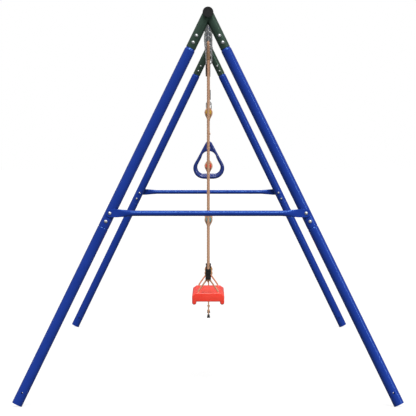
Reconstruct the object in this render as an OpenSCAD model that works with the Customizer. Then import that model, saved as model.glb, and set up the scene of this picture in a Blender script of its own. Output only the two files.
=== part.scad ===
// Child's A-frame swing set: a board swing, a rope ladder and a pair of gym rings
// hang from one beam between two splayed A-frames of powder-coated tube.
// +X runs across the A-frames, +Y along the beam, +Z up from the ground.

/* [Frame] */
// Distance between the two apexes, along the beam
beam_span = 3000; // [2400:10:4200]
// Height of the beam's axis above the ground
beam_h = 1775; // [1450:5:2200]
// Angle of each leg from its A-frame's middle line, in degrees
leg_angle = 25.9; // [20:0.1:32]
// Outward lean of each A-frame, in degrees
splay = 4; // [0:0.5:8]

/* [Tubes] */
// Outside diameter of the leg tubes
leg_od = 48; // [38:0.5:60]
// Wall of the leg tubes
leg_wall = 1.5; // [1:0.1:2.5]
// Outside diameter of the bracket's arms
arm_od = 45; // [36:0.5:57]
// Wall of the bracket's tubes
arm_wall = 1.6; // [1.2:0.1:2.5]
// Outside diameter of the beam
beam_od = 42; // [34:0.5:46]
// Wall of the beam
beam_wall = 2; // [1.5:0.1:3]
// Outside diameter of the braces
brace_od = 25; // [19:0.5:32]
// Clearance all round where one tube slides into another
tube_gap = 0.3; // [0.2:0.05:0.5]

/* [Joints in the frame] */
// Length of the bracket's arms from the apex
arm_len = 180; // [150:1:240]
// Length of the reduced end of a leg tube inside its neighbour
spigot_len = 90; // [70:1:110]
// Where the lower leg begins, along the leg from the apex
seam_at = 1080; // [900:5:1300]
// Distance of the two bracket bolts from the arm's end
bracket_bolt_back = [61, 27];
// Distance of the two leg bolts from the leg's seam
leg_bolt_back = [69, 28];
// Diameter of the frame bolts
bolt_d = 8; // [6:0.5:10]
// Clearance all round a bolt in its hole
bolt_gap = 0.3; // [0.2:0.05:0.6]
// Diameter of the ground-anchor hole in each foot
foot_hole_d = 8.5; // [6:0.5:12]
// Distance of that hole from the tube's end
foot_hole_up = 59; // [40:1:90]

/* [Hangers] */
// Distance from the beam's axis down to the middle of an eye
eye_drop = 53; // [46:1:70]
// Diameter of the eye bolt's wire
eye_wire = 6.5; // [5:0.5:8]
// Inside diameter of the eye
eye_id = 14; // [13:0.5:20]
// Width, height and wire of the carabiners on the beam
hook_w = 41; // [36:1:50]
hook_h = 67; // [62:1:90]
hook_wire = 7; // [5:0.5:8]
// Width, height and wire of the small carabiners above the rings
link_w = 34; // [32:1:40]
link_h = 52; // [50:1:70]
link_wire = 6; // [4:0.5:6.5]
// Diameter of the ropes
rope_d = 13; // [8:0.5:14]
// Inside diameter of a rope's spliced eye
rope_eye_id = 12; // [12:0.5:18]
// Gap between a hook and what it hangs on
hang_gap = 0.3; // [0.2:0.05:0.5]

/* [Board swing] */
// Place of the swing along the beam
swing_y = -850; // [-950:5:-650]
// Distance between the swing's ropes
swing_gap = 380; // [320:5:440]
// Height of the seat's upper edge
seat_h = 463; // [350:1:600]
// Length of the seat, along the beam
seat_len = 440; // [400:5:520]
// Depth of the seat, front to back, at the top
seat_w = 142; // [125:1:180]
// Wall of the seat
seat_wall = 4.5; // [3:0.5:6]
// Radius of the seat's long upper edges
seat_edge_r = 18; // [12:1:24]
// Height of the seat's rolled front and back rims
seat_rim_h = 57; // [48:1:75]
// Height of the seat's ends
seat_end_h = 42; // [30:1:44]
// Distance between the cord holes, front to back
cord_gap = 96; // [80:1:104]
// Diameter of the seat's cords
cord_d = 8; // [6:0.5:9]
// Width, depth and height of a rope adjuster
adjuster_w = 27; // [24:1:36]
adjuster_d = 24; // [20:1:30]
adjuster_h = 48; // [36:1:60]
// Height of the adjuster's foot above the seat's upper edge
adjuster_up = 65; // [50:1:90]

/* [Ladder] */
// Place of the ladder along the beam
ladder_y = 0; // [-40:5:40]
// Distance between the ladder's ropes
ladder_gap = 260; // [240:5:300]
// Height of the top rung
rung_top = 1347; // [1200:1:1400]
// Distance from rung to rung
rung_step = 287; // [220:1:330]
// Length and diameter of a rung
rung_len = 310; // [290:5:380]
rung_d = 28; // [22:0.5:34]
// Diameter of the strands that part round a rung
strand_d = 8; // [5:0.5:9]
// Height of the lower rim of the bell caps on the rope tails
bell_z = 245; // [150:1:300]

/* [Rings] */
// Place of the pair of rings along the beam
rings_y = 840; // [700:5:900]
// Distance between the two rings
rings_gap = 480; // [400:5:560]
// Height of the underside of a ring
ring_z = 975; // [800:1:1100]
// Width of a ring
ring_w = 180; // [160:1:220]
// Thickness of a ring's sides
ring_d = 20; // [16:0.5:24]
// Thickness of a ring's grip bar
grip_d = 22; // [18:0.5:28]
// Radius of the lower corners, along the middle of the tube
ring_corner_r = 50; // [40:1:60]
// Angle of the ring's sides from upright, in degrees
ring_angle = 28.5; // [27:0.5:34]
// Height of the rope hole above the ring's underside
ring_hole_up = 180; // [172:1:186]
// Height of the top of the small carabiners
link_top_z = 1425; // [1390:1:1480]
// Diameter of the rope loop through a ring
loop_d = 9; // [7:0.5:10]

/* [Hidden] */

$fn = 64;
eps = 0.01;
big = 4000;
near = -1;
far = 1;
left = -1;
right = 1;

blue = [0.13, 0.21, 0.62];
green = [0.17, 0.26, 0.21];
black = [0.09, 0.09, 0.10];
steel = [0.74, 0.74, 0.72];
rope_colour = [0.68, 0.53, 0.42];
red = [0.93, 0.22, 0.16];
yellow = [0.85, 0.68, 0.16];
teal = [0.30, 0.62, 0.64];

// The leg runs from the apex down and out, so its end cut stands on its outer edge
leg_rise = cos(leg_angle) * cos(splay);
leg_len = (beam_h - leg_od / 2 * sqrt(1 - leg_rise * leg_rise)) / leg_rise;
leg_id = leg_od - 2 * leg_wall;
arm_id = arm_od - 2 * arm_wall;
arm_spigot_od = arm_id - 2 * tube_gap;
leg_spigot_od = leg_id - 2 * tube_gap;
swage = 10;
socket_od = 48;
socket_id = beam_od + 2 * tube_gap;
socket_out = 35;
socket_in = 80;
bracket_bolt_at = [for (b = bracket_bolt_back) arm_len - b];
leg_bolt_at = [for (b = leg_bolt_back) seam_at - b];
bolt_hole_d = bolt_d + 2 * bolt_gap;
beam_end = beam_span / 2 + socket_out;
beam_id = beam_od - 2 * beam_wall;
beam_sleeve_len = 230;
beam_sleeve_od = beam_id - 2 * tube_gap;
beam_joint_bolts = [-60, 60];
beam_bracket_bolt = beam_span / 2 - 50;

bracket_bore_at = 45;
bolt_hole_reach = 80;
nut_across = 13 / 8 * bolt_d;
nut_h = 5;

brace_t = 3;
brace_wall = 1.5;
brace_flat_h = 37;
brace_flat_len = 34;
brace_press_len = 74;
brace_y = leg_od / 2 + 0.1 + brace_t / 2;
brace_x = leg_bolt_at[0] * sin(leg_angle);
brace_z = -leg_bolt_at[0] * cos(leg_angle);
brace_flat_x = brace_x - brace_flat_len;
brace_tube_x = brace_flat_x - brace_press_len;

// The beam's end caps: plug, flange, whole thickness, and the disc sunk in the middle
cap_plug_len = 18;
cap_flange_t = 3;
cap_t = 5;
cap_disc_d = 30;
cap_disc_deep = 1.2;

eye_z = beam_h - eye_drop;
eye_r = (eye_id + eye_wire) / 2;
washer_d = 18;
washer_t = 1.5;
swing_pivot_z = eye_z - eye_r;
hook_top = swing_pivot_z + eye_wire / 2 + hang_gap + hook_wire;
hook_z = hook_top - hook_h / 2;
hook_low = hook_z - hook_h / 2 + hook_wire / 2;
hook_pin_d = 2.5;
hook_fork_t = 1.5;
// Gap at each side of a gate's foot, height of the hook's foot below it, and how far the
// pivot stands above the bow's end
hook_cheek_gap = 0.1;
hook_foot_h = 3;
hook_pivot_up = 2.6;
// How much thinner the gate is than the wire, and how much shorter its heel
gate_slim = 0.6;
gate_heel_cut = 1;
gate_end_gap = 0.7;
rope_eye_r = (rope_eye_id + rope_d) / 2;
rope_eye_z = hook_low + hook_wire / 2 + hang_gap - rope_eye_id / 2;
rope_from = rope_eye_z - rope_eye_r;
splice_len = 36;
splice_d = rope_d + 2;

adjuster_z = seat_h + adjuster_up;
tilt_above = 7;
tilt_z = adjuster_z + adjuster_h + tilt_above;
tilt_ball_d = rope_d + 1.4;
adjuster_core_w = rope_d + 8;
adjuster_foot_h = 20;
adjuster_tooth = 10;
seat_rim_r = 9.5;
seat_rim_in = 3.5;
seat_rib_t = 3;
seat_rib_h = 24;
seat_rib_ys = [-95, 0, 95];
boss_h = 9;
boss_d = 20;
cord_x = cord_gap / 2;
knot_r = 8;
rope_knot_below = 11;

swing_ys = [swing_y - swing_gap / 2, swing_y + swing_gap / 2];
ladder_ys = [ladder_y - ladder_gap / 2, ladder_y + ladder_gap / 2];
ring_ys = [rings_y - rings_gap / 2, rings_y + rings_gap / 2];
hanger_ys = concat(swing_ys, ladder_ys, ring_ys);

rung_count = 4;
rung_colours = [yellow, red, teal, yellow];
strand_ring_r = rung_d / 2 + hang_gap + strand_d / 2;
rung_step_down = 4;
rung_tip = 2;
rung_recess = 1.5;
bell_h = 18;
bell_d = 18;
bell_top_d = 11;
bell_socket = 11;
ladder_adjuster_h = 57;
ladder_adjuster_z = rope_from - splice_len - ladder_adjuster_h - 2;
ladder_adjuster_side = rope_d / 2 + 3;
ladder_adjuster_deep = rope_d + 7;
ladder_tail_d = 4;
ladder_tail_x = -rope_d / 2 - 5;

link_z = link_top_z - link_h / 2;
link_low = link_top_z - link_h + link_wire / 2;
link_pivot_z = link_top_z - link_wire - hang_gap - rope_d / 2;
ring_rope_low = link_pivot_z + 2 * rope_eye_r;
ring_sleeve_h = 45;
loop_eye_r = 9;
loop_eye_z = link_low + link_wire / 2 + hang_gap - loop_eye_r + loop_d / 2;
loop_bend_r = ring_d / 2 + loop_d / 2 + 3.5;
ring_hole_z = ring_z + ring_hole_up;
ring_hole_d = loop_d + 6;
loop_bend_z = ring_hole_z - 2 + loop_bend_r;
loop_fork_z = loop_bend_z + 64;
ring_bar_z = ring_z + grip_d / 2;
ring_corner_x = (ring_w - ring_d) / 2 - ring_corner_r;
ring_corner_z = ring_bar_z + ring_corner_r;
ring_apex_r = ring_d / 2 + 2;
ring_apex_z = ring_corner_z
    + (ring_corner_x * cos(ring_angle) + ring_corner_r - ring_apex_r) / sin(ring_angle);
ring_web_t = 14;
function gate_pivot(w, h, wire) = -(h - w) / 2 + wire / 2 + hook_pivot_up;
function web_low() = hand_top_z - 24;
function web_top() = ring_apex_z - 10;
function web_half(z) = (ring_apex_z - z) * tan(ring_angle) + 2;
hand_top_z = ring_hole_z - 19;
hand_arc_r = 44;

// ---- helpers ----

// Puts its children at one end of the beam, in the plane of that A-frame
module at_end(end) {
    mirror([0, end == far ? 1 : 0, 0])
        translate([0, -beam_span / 2, beam_h])
            rotate([-splay, 0, 0])
                children();
}

// Puts its children on a leg's axis, a distance from the apex, with +Z back up the leg
module on_leg(side, distance) {
    rotate([0, -side * leg_angle, 0]) translate([0, 0, -distance]) children();
}

// A cylinder along Y from y0 to y1
module rod_y(d, y0, y1) {
    translate([0, y0, 0]) rotate([-90, 0, 0]) cylinder(d = d, h = y1 - y0);
}

// A round bar between two points
module bar(a, b, d) {
    v = b - a;
    tilt = acos(v[2] / norm(v));
    turn = atan2(v[1], v[0]);
    translate(a) rotate([0, tilt, turn]) cylinder(d = d, h = norm(v));
}

// A rod along -Z from the origin
module rod_down(d, length) {
    translate([0, 0, -length]) cylinder(d = d, h = length);
}

// A hole down through the beam, at a place along it
module beam_hole(y) {
    translate([0, y, beam_h - bolt_hole_reach / 2]) cylinder(d = bolt_hole_d, h = bolt_hole_reach);
}

// A low dome standing on the XY plane
module dome(d, h) {
    r = (d * d / 4 + h * h) / (2 * h);
    intersection() {
        translate([0, 0, h - r]) sphere(r = r);
        cylinder(d = d + 2, h = h + 1);
    }
}

// A ring of round bar about the X axis
module ring_x(r, d) {
    rotate([0, 90, 0]) rotate_extrude() translate([r, 0]) circle(d = d);
}

// A ring of round bar about the Y axis
module ring_y(r, d) {
    rotate([90, 0, 0]) rotate_extrude() translate([r, 0]) circle(d = d);
}

// Part of such a ring, from one angle to another, counted from +X towards +Z
module arc_y(r, d, from, to) {
    rotate([90, 0, 0]) rotate([0, 0, from])
        rotate_extrude(angle = to - from) translate([r, 0]) circle(d = d);
}

// A straight bar that leaves such a ring on its tangent, at an angle, away from -Z
module tangent_y(r, d, angle, length) {
    rotate([0, -angle, 0]) translate([r, 0, 0]) cylinder(d = d, h = length);
}

// A through bolt along -Y: domed head outside at y0, cap nut inside at y1
module frame_bolt(y0, y1) {
    rod_y(bolt_d, y0 - eps, y1 + nut_h);
    translate([0, y0, 0]) rotate([90, 0, 0]) dome(2 * bolt_d, 0.7 * bolt_d);
    translate([0, y1, 0]) rotate([-90, 0, 0]) {
        cylinder(d = nut_across, h = nut_h, $fn = 6);
        translate([0, 0, nut_h - eps]) dome(1.25 * bolt_d, 4.5);
    }
}

// ---- frame ----

module bracket(end) {
    color(green) difference() {
        union() {
            at_end(end) for (side = [left, right]) on_leg(side, 0) rod_down(arm_od, arm_len);
            translate([0, end * beam_span / 2, beam_h])
                rod_y(socket_od, end == near ? -socket_out : -socket_in,
                    end == near ? socket_in : socket_out);
        }
        translate([0, end * beam_span / 2, beam_h]) rod_y(socket_id, -arm_len, arm_len);
        at_end(end) for (side = [left, right]) {
            on_leg(side, bracket_bore_at) rod_down(arm_id, arm_len);
            for (t = bracket_bolt_at) on_leg(side, t) rod_y(bolt_hole_d, -arm_od, arm_od);
        }
        beam_hole(end * beam_bracket_bolt);
    }
}

module beam_half(end) {
    color(green) difference() {
        translate([0, 0, beam_h])
            rod_y(beam_od, end == near ? -beam_end : 0.25, end == near ? -0.25 : beam_end);
        translate([0, 0, beam_h]) rod_y(beam_id, -big / 2, big / 2);
        for (y = concat(hanger_ys, beam_joint_bolts, [end * beam_bracket_bolt])) beam_hole(y);
    }
}

module beam_sleeve() {
    color(steel) difference() {
        translate([0, 0, beam_h]) rod_y(beam_sleeve_od, -beam_sleeve_len / 2, beam_sleeve_len / 2);
        translate([0, 0, beam_h]) rod_y(beam_sleeve_od - 3, -beam_sleeve_len, beam_sleeve_len);
        for (y = beam_joint_bolts) beam_hole(y);
    }
}

module beam_end_caps() {
    color(black) for (end = [near, far])
        mirror([0, end == far ? 1 : 0, 0]) translate([0, -beam_end, beam_h]) difference() {
            union() {
                rod_y(beam_id - 0.4, -1, cap_plug_len);
                rod_y(socket_od + 1, -cap_flange_t, -0.1);
                rod_y(socket_od - 3, -cap_t, 0.1 - cap_flange_t);
            }
            rod_y(cap_disc_d, -cap_t - 1, cap_disc_deep - cap_t);
            rod_y(beam_id - 5, 2, cap_plug_len + 2);
        }
}

// Vertical bolts through the beam: one at each bracket, two at the middle joint
module beam_bolts() {
    color(steel) {
        for (end = [near, far])
            translate([0, end * beam_bracket_bolt, beam_h]) rotate([-90, 0, 0])
                frame_bolt(-socket_od / 2, socket_od / 2);
        for (y = beam_joint_bolts)
            translate([0, y, beam_h]) rotate([-90, 0, 0])
                frame_bolt(-beam_od / 2, beam_od / 2);
    }
}

module leg_upper(end, side) {
    color(blue) at_end(end) difference() {
        union() {
            on_leg(side, arm_len - spigot_len) rod_down(arm_spigot_od, spigot_len + swage);
            on_leg(side, arm_len + 0.5 + swage) cylinder(d1 = leg_od, d2 = arm_spigot_od, h = swage);
            on_leg(side, arm_len + swage) rod_down(leg_od, seam_at - arm_len - swage);
        }
        on_leg(side, arm_len - spigot_len - 1)
            rod_down(arm_spigot_od - 2 * leg_wall, spigot_len + swage);
        on_leg(side, arm_len + swage + 5) rod_down(leg_id, seam_at);
        on_leg(side, arm_len + swage + 5 - eps)
            cylinder(d1 = leg_id, d2 = arm_spigot_od - 2 * leg_wall, h = swage);
        for (t = concat(bracket_bolt_at, leg_bolt_at))
            on_leg(side, t) rod_y(bolt_hole_d, -leg_od, leg_od);
    }
}

module leg_lower(end, side) {
    color(blue) at_end(end) difference() {
        union() {
            on_leg(side, seam_at - spigot_len) rod_down(leg_spigot_od, spigot_len + swage);
            on_leg(side, seam_at + 0.5 + swage / 2)
                cylinder(d1 = leg_od, d2 = leg_spigot_od, h = swage / 2);
            on_leg(side, seam_at + 0.5 + swage / 2)
                rod_down(leg_od, leg_len - seam_at - 0.5 - swage / 2);
        }
        on_leg(side, seam_at - spigot_len - 1)
            rod_down(leg_spigot_od - 2 * leg_wall, spigot_len + swage);
        on_leg(side, seam_at + swage - 2) rod_down(leg_id, leg_len);
        for (t = leg_bolt_at) on_leg(side, t) rod_y(bolt_hole_d, -leg_od, leg_od);
        on_leg(side, leg_len - foot_hole_up) rod_y(foot_hole_d, -leg_od, leg_od);
    }
}

// One end of a brace, on the +X side: the tube pressed flat, as a cone that two planes cut
// down to a strap, and the strap's round end
module brace_end() {
    intersection() {
        translate([brace_tube_x, 0, 0]) rotate([0, 90, 0])
            cylinder(d1 = brace_od, d2 = brace_flat_h, h = brace_press_len);
        translate([0, 0, -brace_flat_h]) linear_extrude(2 * brace_flat_h)
            polygon([
                [brace_tube_x - 1, -brace_od / 2 - 1], [brace_flat_x + 1, -brace_t / 2],
                [brace_flat_x + 1, brace_t / 2], [brace_tube_x - 1, brace_od / 2 + 1]
            ]);
    }
    translate([brace_flat_x - 1, -brace_t / 2, -brace_flat_h / 2])
        cube([brace_flat_len + 1, brace_t, brace_flat_h]);
    translate([brace_x, 0, 0]) rod_y(brace_flat_h, -brace_t / 2, brace_t / 2);
}

module brace(end) {
    tube_len = 2 * brace_tube_x;
    color(blue) at_end(end) translate([0, -brace_y, brace_z]) difference() {
        union() {
            translate([-brace_tube_x - 0.5, 0, 0]) rotate([0, 90, 0])
                cylinder(d = brace_od, h = tube_len + 1);
            for (m = [0, 1]) mirror([m, 0, 0]) brace_end();
        }
        translate([1 - brace_tube_x, 0, 0]) rotate([0, 90, 0])
            cylinder(d = brace_od - 2 * brace_wall, h = tube_len - 2);
        for (side = [left, right]) translate([side * brace_x, 0, 0]) rod_y(bolt_hole_d, -10, 10);
    }
}

module bracket_bolts() {
    color(steel) for (end = [near, far], side = [left, right], t = bracket_bolt_at)
        at_end(end) on_leg(side, t) frame_bolt(-arm_od / 2, arm_od / 2);
}

module leg_bolts() {
    color(steel) for (end = [near, far], side = [left, right], i = [0, 1])
        at_end(end) on_leg(side, leg_bolt_at[i])
            frame_bolt(i == 0 ? -brace_y - brace_t / 2 : -leg_od / 2, leg_od / 2);
}

// ---- hangers ----

module eye_bolt(y) {
    translate([0, y, eye_z]) {
        ring_x(eye_r, eye_wire);
        translate([0, 0, eye_r])
            cylinder(d = bolt_d, h = eye_drop - eye_r + beam_od / 2 + 1.5 * bolt_d);
        translate([0, 0, eye_drop]) for (up = [0, 1]) mirror([0, 0, up ? 0 : 1])
            translate([0, 0, beam_od / 2]) {
                cylinder(d = washer_d, h = washer_t);
                cylinder(d = nut_across, h = bolt_d, $fn = 6);
            }
    }
}

module eye_bolts(ys) {
    color(steel) for (y = ys) eye_bolt(y);
}

// An oval snap hook in the XZ plane, about its own middle, without its gate.
// The gate closes the straight part of its right side.
module hook_body(w, h, wire) {
    r = (w - wire) / 2;
    s = (h - w) / 2;
    gate_end = s - wire / 2;
    fork_w = wire + 2 * (hook_fork_t + hook_cheek_gap);
    color(steel) {
        for (up = [1, -1]) translate([0, 0, up * s])
            arc_y(r, wire, up > 0 ? 0 : 180, up > 0 ? 180 : 360);
        translate([-r, 0, -s]) cylinder(d = wire, h = 2 * s);
        translate([r, 0, gate_end]) cylinder(d = wire, h = wire / 2);
        translate([r - wire / 2, -fork_w / 2, -s - 1]) cube([wire, fork_w, hook_foot_h]);
        for (y = [-fork_w / 2, fork_w / 2 - hook_fork_t])
            translate([r - wire / 2, y, -s - 1]) cube([wire, hook_fork_t, wire + hook_pivot_up]);
        translate([r, 0, gate_pivot(w, h, wire)])
            rod_y(hook_pin_d, -fork_w / 2 - 0.4, fork_w / 2 + 0.4);
    }
}

module hook_gate(w, h, wire) {
    r = (w - wire) / 2;
    s = (h - w) / 2;
    pivot = gate_pivot(w, h, wire);
    heel = pivot - wire / 2 + gate_heel_cut;
    color(steel) difference() {
        translate([r, 0, heel])
            cylinder(d = wire - gate_slim, h = s - wire / 2 - gate_end_gap - heel);
        translate([r, 0, pivot]) rod_y(hook_pin_d + 0.2, -10, 10);
    }
}

// A rope's spliced eye on a hook's lower bow, and the thicker splice below it
module rope_head(y) {
    translate([0, y, rope_eye_z]) ring_x(rope_eye_r, rope_d);
    translate([0, y, rope_from - splice_len]) cylinder(d = splice_d, h = splice_len);
}

// ---- board swing ----

module swing_rope(y) {
    color(rope_colour) difference() {
        union() {
            rope_head(y);
            translate([0, y, tilt_z]) cylinder(d = rope_d, h = rope_from - splice_len - tilt_z + 1);
        }
        translate([0, y, tilt_z]) sphere(d = tilt_ball_d + 2 * hang_gap);
    }
}

// A block round the rope: a foot and two teeth on a narrower core
module rope_adjusters() {
    tooth_step = (adjuster_h - adjuster_foot_h) / 2;
    color(black) for (y = swing_ys) translate([0, y, adjuster_z]) difference() {
        union() {
            translate([-adjuster_core_w / 2, -adjuster_d / 2 + 2, 0])
                cube([adjuster_core_w, adjuster_d - 4, adjuster_h]);
            adjuster_plate(0, adjuster_foot_h);
            for (i = [1, 2])
                adjuster_plate(adjuster_foot_h + i * tooth_step - adjuster_tooth, adjuster_tooth);
        }
        translate([0, 0, -1]) cylinder(d = rope_d + 0.6, h = adjuster_h + 2);
    }
}

module adjuster_plate(z, h) {
    corner_r = 3;
    translate([0, 0, z]) {
        translate([-adjuster_w / 2, corner_r - adjuster_d / 2, 0])
            cube([adjuster_w, adjuster_d - 2 * corner_r, h]);
        translate([corner_r - adjuster_w / 2, -adjuster_d / 2, 0])
            cube([adjuster_w - 2 * corner_r, adjuster_d, h]);
        for (x = [-1, 1], s = [-1, 1])
            translate([x * (adjuster_w / 2 - corner_r), s * (adjuster_d / 2 - corner_r), 0])
                cylinder(r = corner_r, h = h);
    }
}

// The rope's lower end through the adjuster, its knot, and the cords down to the seat
module seat_cords() {
    foot_x = adjuster_w / 2 - cord_d / 2 - 1.5;
    bend_z = seat_h + cord_d / 2 + 1;
    color(rope_colour) for (y = swing_ys) {
        translate([0, y, tilt_z]) sphere(d = tilt_ball_d);
        translate([0, y, adjuster_z - rope_knot_below])
            cylinder(d = rope_d, h = tilt_z - adjuster_z + rope_knot_below);
        translate([0, y, adjuster_z - rope_knot_below]) sphere(d = rope_d + 7);
        for (x = [-1, 1]) {
            difference() {
                bar([x * foot_x, y, adjuster_z], [x * cord_x, y, bend_z], cord_d);
                translate([x * foot_x - 20, y - 20, adjuster_z]) cube([40, 40, 20]);
            }
            translate([x * cord_x, y, bend_z]) sphere(d = cord_d + 0.8);
            translate([x * cord_x, y, bend_z - 22]) cylinder(d = cord_d, h = 22);
            translate([x * cord_x, y, seat_h - boss_h - knot_r - 0.3]) sphere(r = knot_r);
        }
    }
}

// Outline of the seat across its length, with its top at zero
module seat_outline(inset) {
    square_w = seat_w / 2 - seat_edge_r;
    for (x = [-1, 1]) translate([x * square_w, -seat_edge_r]) circle(r = seat_edge_r - inset);
    translate([-square_w, -seat_edge_r]) square([2 * square_w, seat_edge_r - inset]);
    translate([-seat_w / 2 + inset, -seat_end_h - (inset > 0 ? 30 : 0)])
        square([seat_w - 2 * inset, seat_end_h - seat_edge_r + (inset > 0 ? 30 : 0)]);
}

// Extrudes an outline of the seat between two places along it
module along_seat(from, to) {
    translate([0, swing_y + to, seat_h]) rotate([90, 0, 0])
        linear_extrude(to - from) children();
}

module seat_rims() {
    for (x = [-1, 1]) translate([x * (seat_w / 2 - seat_rim_in), seat_rim_r - seat_rim_h])
        circle(r = seat_rim_r);
}

module seat() {
    half = seat_len / 2;
    color(red) difference() {
        union() {
            along_seat(-half, half) {
                difference() {
                    seat_outline(0);
                    seat_outline(seat_wall);
                }
                seat_rims();
            }
            for (s = [-1, 1])
                along_seat(s > 0 ? half - seat_wall : -half, s > 0 ? half : seat_wall - half)
                    seat_outline(0);
            for (y = seat_rib_ys) along_seat(y - seat_rib_t / 2, y + seat_rib_t / 2)
                translate([-seat_w / 2 + 2, -seat_rib_h - 2]) square([seat_w - 4, seat_rib_h]);
            along_seat(1 - half, half - 1)
                translate([-seat_rib_t / 2, -seat_rib_h - 2]) square([seat_rib_t, seat_rib_h]);
            for (x = [-1, 1], y = swing_ys)
                translate([x * cord_x, y, seat_h - boss_h]) cylinder(d = boss_d, h = boss_h - 2);
        }
        for (x = [-1, 1], y = swing_ys)
            translate([x * cord_x, y, seat_h - 30]) cylinder(d = cord_d + 1, h = 60);
    }
}

// ---- ladder ----

module ladder_rope(y) {
    rungs = [for (i = [0:rung_count - 1]) rung_top - i * rung_step];
    tail_end = bell_z + bell_h - bell_socket + 1;
    color(rope_colour) {
        rope_head(y);
        for (i = [0:rung_count - 1]) {
            upper = i == 0 ? rope_from - splice_len + 1 : rungs[i - 1] - strand_ring_r;
            lower = rungs[i] + strand_ring_r;
            translate([0, y, lower]) cylinder(d = rope_d, h = upper - lower);
            translate([0, y, rungs[i]]) ring_y(strand_ring_r, strand_d);
        }
        translate([0, y, tail_end])
            cylinder(d = cord_d, h = rungs[rung_count - 1] - strand_ring_r - tail_end);
    }
}

module ladder_rope_adjusters() {
    color(black) for (y = ladder_ys) translate([0, y, ladder_adjuster_z]) difference() {
        translate([ladder_tail_x - 4.5, -ladder_adjuster_deep / 2, 0])
            cube([ladder_adjuster_side - ladder_tail_x + 4.5, ladder_adjuster_deep,
                ladder_adjuster_h]);
        translate([0, 0, -1]) cylinder(d = rope_d + 0.6, h = ladder_adjuster_h + 2);
        translate([ladder_tail_x, 0, -1]) cylinder(d = ladder_tail_d, h = ladder_adjuster_h + 2);
    }
}

module rung(i) {
    color(rung_colours[i]) translate([0, ladder_y, rung_top - i * rung_step]) difference() {
        union() {
            rod_y(rung_d, rung_tip - rung_len / 2, rung_len / 2 - rung_tip);
            rod_y(rung_d - rung_step_down, -rung_len / 2, rung_len / 2);
        }
        for (s = [-1, 1]) translate([0, s * rung_len / 2, 0])
            rod_y(rung_d - 3 * rung_step_down, -rung_recess, rung_recess);
    }
}

module ladder_bell_caps() {
    color(black) for (y = ladder_ys) translate([0, y, bell_z]) difference() {
        cylinder(d1 = bell_d, d2 = bell_top_d, h = bell_h);
        translate([0, 0, bell_h - bell_socket]) cylinder(d = cord_d + 0.2, h = bell_socket + 1);
    }
}

// ---- rings ----

// The upper rope: an eye on the hook, a straight rope, and an eye for the link
module ring_rope(y) {
    color(rope_colour) {
        rope_head(y);
        translate([0, y, ring_rope_low])
            cylinder(d = rope_d, h = rope_from - splice_len - ring_rope_low + 1);
        translate([0, y, ring_rope_low - rope_eye_r]) ring_x(rope_eye_r, rope_d);
    }
}

module ring_sleeve(y) {
    color(black) translate([0, y, ring_rope_low + rope_d / 2 + 1]) difference() {
        cylinder(d = rope_d + 8, h = ring_sleeve_h);
        translate([0, 0, -1]) cylinder(d = rope_d + 0.2, h = ring_sleeve_h + 2);
    }
}

// The lower rope: an eye on the link, a stem to a whipped knot, and a teardrop loop whose
// two strands run tangent into the bend that passes through the ring's web
module ring_loop(y) {
    stem_top = loop_eye_z - loop_eye_r;
    fork = loop_fork_z - loop_bend_z;
    a = asin(loop_bend_r / fork);
    color(rope_colour) translate([0, y, 0]) {
        translate([0, 0, loop_eye_z]) ring_x(loop_eye_r, loop_d);
        translate([0, 0, loop_fork_z]) cylinder(d = loop_d, h = stem_top - loop_fork_z);
        translate([0, 0, loop_fork_z]) sphere(d = loop_d + 6);
        translate([0, 0, loop_bend_z]) rotate([0, 0, 90]) {
            arc_y(loop_bend_r, loop_d, 180 - a, 360 + a);
            for (m = [0, 1]) mirror([m, 0, 0])
                tangent_y(loop_bend_r, loop_d, a, fork * cos(a));
        }
    }
}

module gym_ring(y) {
    side_len = norm([
        (ring_corner_r - ring_apex_r) * cos(ring_angle) + ring_corner_x,
        (ring_corner_r - ring_apex_r) * sin(ring_angle) + ring_corner_z - ring_apex_z
    ]);
    color(blue) translate([0, y, 0]) difference() {
        union() {
            translate([-ring_corner_x - 1, 0, ring_bar_z]) rotate([0, 90, 0])
                cylinder(d = grip_d, h = 2 * ring_corner_x + 2);
            for (m = [0, 1]) mirror([m, 0, 0]) translate([ring_corner_x, 0, ring_corner_z]) {
                arc_y(ring_corner_r, ring_d, -91, ring_angle + 0.5);
                tangent_y(ring_corner_r, ring_d - 0.4, ring_angle, side_len);
            }
            translate([0, 0, ring_apex_z])
                arc_y(ring_apex_r, ring_d, ring_angle - 3, 183 - ring_angle);
            rotate([90, 0, 0]) linear_extrude(ring_web_t, center = true)
                polygon([
                    [0, ring_apex_z + 1], [-web_half(web_top()), web_top()],
                    [-web_half(web_low()), web_low()], [web_half(web_low()), web_low()],
                    [web_half(web_top()), web_top()]
                ]);
        }
        translate([0, 0, hand_top_z - hand_arc_r]) rod_y(2 * hand_arc_r, -8, 8);
        translate([0, 0, ring_hole_z]) rod_y(ring_hole_d, -20, 20);
    }
}

// ---- the set ----

bracket(near);  // near_bracket
bracket(far);  // far_bracket
beam_half(near);  // beam_near_half
beam_half(far);  // beam_far_half
beam_sleeve();
beam_end_caps();
beam_bolts();
leg_upper(near, left);  // near_left_leg_upper
leg_upper(near, right);  // near_right_leg_upper
leg_upper(far, left);  // far_left_leg_upper
leg_upper(far, right);  // far_right_leg_upper
leg_lower(near, left);  // near_left_leg_lower
leg_lower(near, right);  // near_right_leg_lower
leg_lower(far, left);  // far_left_leg_lower
leg_lower(far, right);  // far_right_leg_lower
brace(near);  // near_brace
brace(far);  // far_brace
bracket_bolts();
leg_bolts();
eye_bolts(swing_ys);  // swing_eye_bolts
eye_bolts(ladder_ys);  // ladder_eye_bolts
eye_bolts(ring_ys);  // ring_eye_bolts
for (y = swing_ys) translate([0, y, hook_z]) hook_body(hook_w, hook_h, hook_wire);  // swing_hooks
translate([0, swing_ys[0], hook_z]) hook_gate(hook_w, hook_h, hook_wire);  // swing_near_hook_gate
translate([0, swing_ys[1], hook_z]) hook_gate(hook_w, hook_h, hook_wire);  // swing_far_hook_gate
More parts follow.
